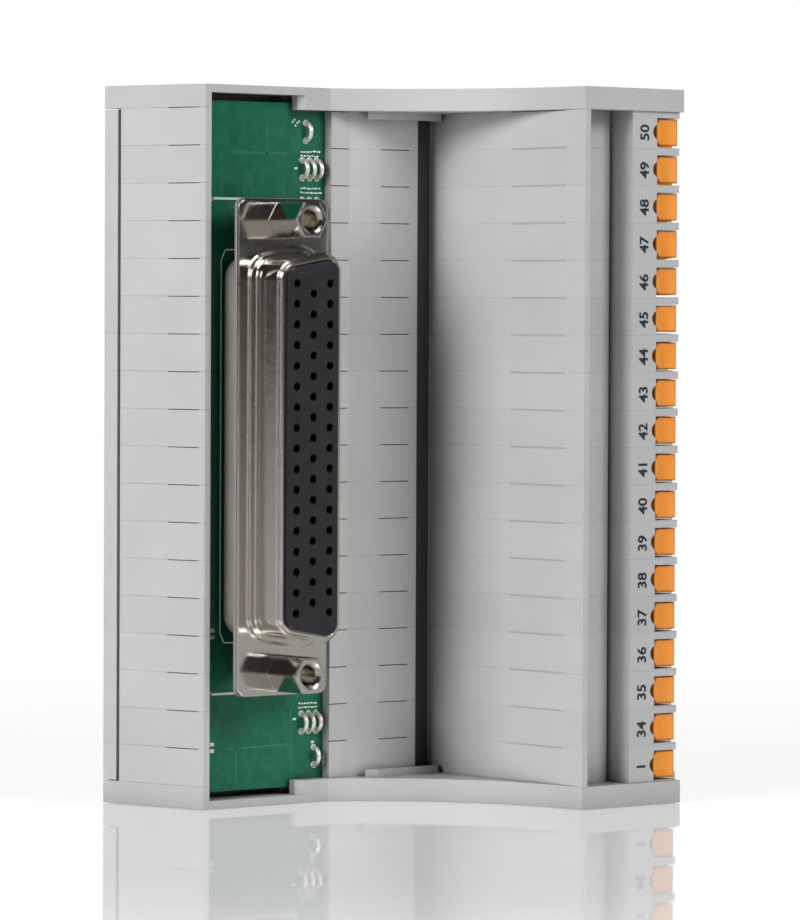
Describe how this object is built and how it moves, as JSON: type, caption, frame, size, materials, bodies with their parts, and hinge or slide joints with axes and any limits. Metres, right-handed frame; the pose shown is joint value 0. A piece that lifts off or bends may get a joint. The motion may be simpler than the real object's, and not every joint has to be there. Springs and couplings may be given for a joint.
{
  "type": "din rail interface module",
  "caption": "Interface module for a 35 mm top-hat rail: a D-shaped socket connector on a board, wired to three steps of push-in terminals with release buttons.",
  "frame": {"origin": "centre of the bounding box at the outer face of the lower end cover", "axes": "+Z along the rail, +X across the board from the connector to the terminals, +Y from the front into the rail"},
  "size_m": [0.0858, 0.048, 0.0976],
  "materials": {
    "housing": "fine matt",
    "strip": "fine matt",
    "button": "satin",
    "board": "solder mask",
    "nickel": "nickel plated",
    "insulator": "satin",
    "gold": "gold plated",
    "steel": "spring steel"
  },
  "bodies": {
    "module": {"end_cover_lower": "housing", "end_cover_upper": "housing", "valley_covers": "housing", "circuit_board": "board", "wire_links": "gold", "terminal_strip_tall": "strip", "terminal_strip_middle": "strip", "terminal_strip_low": "strip", "middle_step_buttons": "button", "low_step_buttons": "button", "clamp_springs": "steel", "current_bars": "gold", "connector_rear_shell": "nickel", "connector_front_shell": "nickel", "front_insulator": "insulator", "rear_insulator": "insulator", "socket_contacts": "gold", "jackscrew_upper": "nickel", "jackscrew_lower": "nickel", "flange_standoffs": "nickel", "latch_springs": "steel", "housing_slice_01": "housing", "housing_slice_02": "housing", "housing_slice_03": "housing", "housing_slice_04": "housing", "housing_slice_05": "housing", "housing_slice_06": "housing", "housing_slice_07": "housing", "housing_slice_08": "housing", "housing_slice_09": "housing", "housing_slice_10": "housing", "housing_slice_11": "housing", "housing_slice_12": "housing", "housing_slice_13": "housing", "housing_slice_14": "housing", "housing_slice_15": "housing", "housing_slice_16": "housing", "housing_slice_17": "housing", "housing_slice_18": "housing"},
    "release_button_01": {"release_button_01": "button"},
    "release_button_02": {"release_button_02": "button"},
    "release_button_03": {"release_button_03": "button"},
    "release_button_04": {"release_button_04": "button"},
    "release_button_05": {"release_button_05": "button"},
    "release_button_06": {"release_button_06": "button"},
    "release_button_07": {"release_button_07": "button"},
    "release_button_08": {"release_button_08": "button"},
    "release_button_09": {"release_button_09": "button"},
    "release_button_10": {"release_button_10": "button"},
    "release_button_11": {"release_button_11": "button"},
    "release_button_12": {"release_button_12": "button"},
    "release_button_13": {"release_button_13": "button"},
    "release_button_14": {"release_button_14": "button"},
    "release_button_15": {"release_button_15": "button"},
    "release_button_16": {"release_button_16": "button"},
    "release_button_17": {"release_button_17": "button"},
    "release_button_18": {"release_button_18": "button"},
    "rail_latch": {"rail_latch": "housing"}
  },
  "joints": [
    {"name": "release_button_01_press", "type": "slide", "parent": "module", "child": "release_button_01", "axis": [0, 1, 0], "range_m": [0, 0.0012], "stiffness_N_per_m": 1500, "springref_m": -0.001},
    {"name": "release_button_02_press", "type": "slide", "parent": "module", "child": "release_button_02", "axis": [0, 1, 0], "range_m": [0, 0.0012], "stiffness_N_per_m": 1500, "springref_m": -0.001},
    {"name": "release_button_03_press", "type": "slide", "parent": "module", "child": "release_button_03", "axis": [0, 1, 0], "range_m": [0, 0.0012], "stiffness_N_per_m": 1500, "springref_m": -0.001},
    {"name": "release_button_04_press", "type": "slide", "parent": "module", "child": "release_button_04", "axis": [0, 1, 0], "range_m": [0, 0.0012], "stiffness_N_per_m": 1500, "springref_m": -0.001},
    {"name": "release_button_05_press", "type": "slide", "parent": "module", "child": "release_button_05", "axis": [0, 1, 0], "range_m": [0, 0.0012], "stiffness_N_per_m": 1500, "springref_m": -0.001},
    {"name": "release_button_06_press", "type": "slide", "parent": "module", "child": "release_button_06", "axis": [0, 1, 0], "range_m": [0, 0.0012], "stiffness_N_per_m": 1500, "springref_m": -0.001},
    {"name": "release_button_07_press", "type": "slide", "parent": "module", "child": "release_button_07", "axis": [0, 1, 0], "range_m": [0, 0.0012], "stiffness_N_per_m": 1500, "springref_m": -0.001},
    {"name": "release_button_08_press", "type": "slide", "parent": "module", "child": "release_button_08", "axis": [0, 1, 0], "range_m": [0, 0.0012], "stiffness_N_per_m": 1500, "springref_m": -0.001},
    {"name": "release_button_09_press", "type": "slide", "parent": "module", "child": "release_button_09", "axis": [0, 1, 0], "range_m": [0, 0.0012], "stiffness_N_per_m": 1500, "springref_m": -0.001},
    {"name": "release_button_10_press", "type": "slide", "parent": "module", "child": "release_button_10", "axis": [0, 1, 0], "range_m": [0, 0.0012], "stiffness_N_per_m": 1500, "springref_m": -0.001},
    {"name": "release_button_11_press", "type": "slide", "parent": "module", "child": "release_button_11", "axis": [0, 1, 0], "range_m": [0, 0.0012], "stiffness_N_per_m": 1500, "springref_m": -0.001},
    {"name": "release_button_12_press", "type": "slide", "parent": "module", "child": "release_button_12", "axis": [0, 1, 0], "range_m": [0, 0.0012], "stiffness_N_per_m": 1500, "springref_m": -0.001},
    {"name": "release_button_13_press", "type": "slide", "parent": "module", "child": "release_button_13", "axis": [0, 1, 0], "range_m": [0, 0.0012], "stiffness_N_per_m": 1500, "springref_m": -0.001},
    {"name": "release_button_14_press", "type": "slide", "parent": "module", "child": "release_button_14", "axis": [0, 1, 0], "range_m": [0, 0.0012], "stiffness_N_per_m": 1500, "springref_m": -0.001},
    {"name": "release_button_15_press", "type": "slide", "parent": "module", "child": "release_button_15", "axis": [0, 1, 0], "range_m": [0, 0.0012], "stiffness_N_per_m": 1500, "springref_m": -0.001},
    {"name": "release_button_16_press", "type": "slide", "parent": "module", "child": "release_button_16", "axis": [0, 1, 0], "range_m": [0, 0.0012], "stiffness_N_per_m": 1500, "springref_m": -0.001},
    {"name": "release_button_17_press", "type": "slide", "parent": "module", "child": "release_button_17", "axis": [0, 1, 0], "range_m": [0, 0.0012], "stiffness_N_per_m": 1500, "springref_m": -0.001},
    {"name": "release_button_18_press", "type": "slide", "parent": "module", "child": "release_button_18", "axis": [0, 1, 0], "range_m": [0, 0.0012], "stiffness_N_per_m": 1500, "springref_m": -0.001},
    {"name": "rail_latch_pull", "type": "slide", "parent": "module", "child": "rail_latch", "axis": [-1, 0, 0], "range_m": [0, 0.0025], "stiffness_N_per_m": 2500, "springref_m": -0.002, "deforming": ["latch_springs"]}
  ]
}
